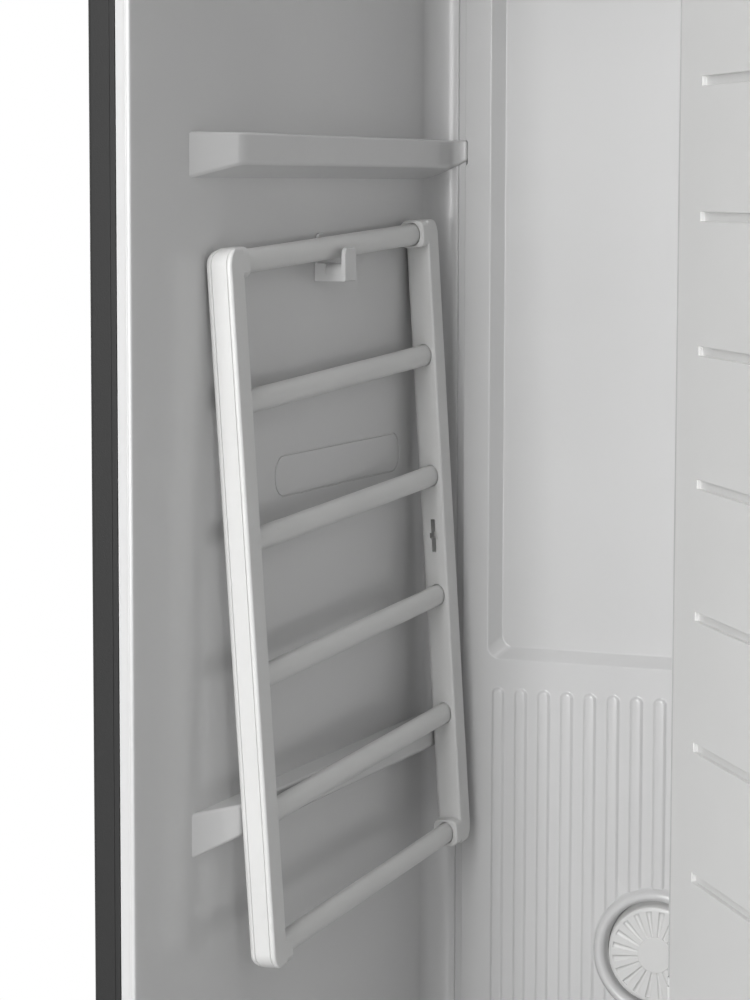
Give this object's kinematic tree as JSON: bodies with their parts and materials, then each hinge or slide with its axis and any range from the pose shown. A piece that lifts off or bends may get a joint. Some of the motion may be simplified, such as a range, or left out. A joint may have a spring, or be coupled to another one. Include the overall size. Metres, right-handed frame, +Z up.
{
  "type": "clothes care steam cabinet",
  "caption": "Narrow steam closet for clothes with an open hinged door, shelf ledges, a rack on a wall hook, a shaking hanger bar, water tanks and a heat pump.",
  "frame": {"origin": "centre of the flat underside of the base pan", "axes": "+Z up, -Y towards the person who opens the door, +X to that person's right"},
  "size_m": [0.6907, 0.9386, 1.8553],
  "materials": {
    "case_paint": "fine textured paint",
    "liner_plastic": "glossy moulded plastic",
    "rack_plastic": "satin moulded plastic",
    "dark_plastic": "matt moulded plastic",
    "tank_plastic": "tinted clear plastic",
    "door_glass": "tinted mirror glass",
    "zinc_steel": "zinc coated",
    "bright_steel": "satin",
    "fin_aluminium": "mill finish",
    "black_iron": "black paint",
    "seal_rubber": "soft",
    "foam": "foamed insulation",
    "board_green": "circuit board",
    "lamp_plastic": "diffusing lens"
  },
  "bodies": {
    "cabinet": {"left_side_panel": "case_paint", "right_side_panel": "case_paint", "top_panel": "case_paint", "upper_fascia": "case_paint", "kick_plate": "case_paint", "back_cover": "zinc_steel", "base_pan": "zinc_steel", "insulation_left": "foam", "insulation_right": "foam", "liner_left_wall": "liner_plastic", "liner_right_wall": "liner_plastic", "back_panel": "liner_plastic", "ceiling_panel": "liner_plastic", "floor_tray": "liner_plastic", "steam_outlet": "dark_plastic", "lamp_lens": "lamp_plastic", "wall_hook": "liner_plastic", "scent_sachet": "foam", "tank_bay": "dark_plastic", "hanger_guide": "bright_steel", "shaker_motor": "zinc_steel", "control_board": "board_green", "heat_pump_base": "dark_plastic", "evaporator": "fin_aluminium", "condenser": "fin_aluminium", "compressor": "black_iron", "water_pump": "dark_plastic", "steam_generator": "zinc_steel", "steam_pipe": "seal_rubber", "power_inlet": "dark_plastic", "upper_hinge_bracket": "zinc_steel", "lower_hinge_bracket": "zinc_steel"},
    "door": {"door_glass": "door_glass", "door_frame": "dark_plastic", "door_liner": "liner_plastic", "door_gasket": "seal_rubber", "press_clamp": "dark_plastic"},
    "press": {"press_board": "rack_plastic"},
    "rack": {"rack_rail_front": "rack_plastic", "rack_rail_rear": "rack_plastic", "rack_rung_1": "rack_plastic", "rack_rung_2": "rack_plastic", "rack_rung_3": "rack_plastic", "rack_rung_4": "rack_plastic", "rack_rung_5": "rack_plastic", "rack_rung_6": "rack_plastic"},
    "hanger": {"hanger_bar": "bright_steel", "hanger_carriage": "dark_plastic"},
    "crank": {"crank_wheel": "dark_plastic"},
    "cap": {"scent_cap": "rack_plastic"},
    "supply": {"supply_tank": "tank_plastic", "supply_tank_lid": "dark_plastic"},
    "drain": {"drain_tank": "tank_plastic", "drain_tank_lid": "dark_plastic"},
    "filter": {"lint_filter": "dark_plastic"},
    "impeller": {"blower_impeller": "rack_plastic"},
    "foot_front_left": {"levelling_foot_front_left": "seal_rubber"},
    "foot_front_right": {"levelling_foot_front_right": "seal_rubber"},
    "foot_rear_left": {"levelling_foot_rear_left": "seal_rubber"},
    "foot_rear_right": {"levelling_foot_rear_right": "seal_rubber"}
  },
  "joints": [
    {"name": "door_hinge", "type": "hinge", "parent": "cabinet", "child": "door", "pos_m": [0.205, -0.302, 0], "axis": [0, 0, 1], "range_deg": [-125, 10]},
    {"name": "press_hinge", "type": "hinge", "parent": "door", "child": "press", "pos_m": [0.19682, -0.36755, 1.07], "axis": [0, 0, -1], "range_deg": [0, 100]},
    {"name": "rack_swing", "type": "hinge", "parent": "cabinet", "child": "rack", "pos_m": [-0.18106, 0.01833, 1.15382], "axis": [0.002, -0.999, -0.0436], "range_deg": [0, 15]},
    {"name": "hanger_shake", "type": "slide", "parent": "cabinet", "child": "hanger", "axis": [1, 0, 0], "range_m": [-0.015, 0.015]},
    {"name": "crank_turn", "type": "hinge", "parent": "cabinet", "child": "crank", "pos_m": [0, -0.012, 1.775], "axis": [0, 0, 1], "continuous": true},
    {"name": "cap_twist", "type": "hinge", "parent": "cabinet", "child": "cap", "pos_m": [0, 0.246, 0.6], "axis": [0, -1, 0], "range_deg": [0, 30]},
    {"name": "supply_tank_slide", "type": "slide", "parent": "cabinet", "child": "supply", "axis": [0, -1, 0], "range_m": [0, 0.19]},
    {"name": "drain_tank_slide", "type": "slide", "parent": "cabinet", "child": "drain", "axis": [0, -1, 0], "range_m": [0, 0.19]},
    {"name": "filter_lift", "type": "slide", "parent": "cabinet", "child": "filter", "axis": [0, 0, 1], "range_m": [0, 0.08]},
    {"name": "impeller_spin", "type": "hinge", "parent": "cabinet", "child": "impeller", "pos_m": [-0.078, 0.166, 0.15], "axis": [0, 1, 0], "continuous": true},
    {"name": "foot_turn_front_left", "type": "hinge", "parent": "cabinet", "child": "foot_front_left", "pos_m": [-0.185, -0.232, 0], "axis": [0, 0, 1], "continuous": true},
    {"name": "foot_turn_front_right", "type": "hinge", "parent": "cabinet", "child": "foot_front_right", "pos_m": [0.185, -0.232, 0], "axis": [0, 0, 1], "continuous": true},
    {"name": "foot_turn_rear_left", "type": "hinge", "parent": "cabinet", "child": "foot_rear_left", "pos_m": [-0.185, 0.226, 0], "axis": [0, 0, 1], "continuous": true},
    {"name": "foot_turn_rear_right", "type": "hinge", "parent": "cabinet", "child": "foot_rear_right", "pos_m": [0.185, 0.226, 0], "axis": [0, 0, 1], "continuous": true}
  ]
}
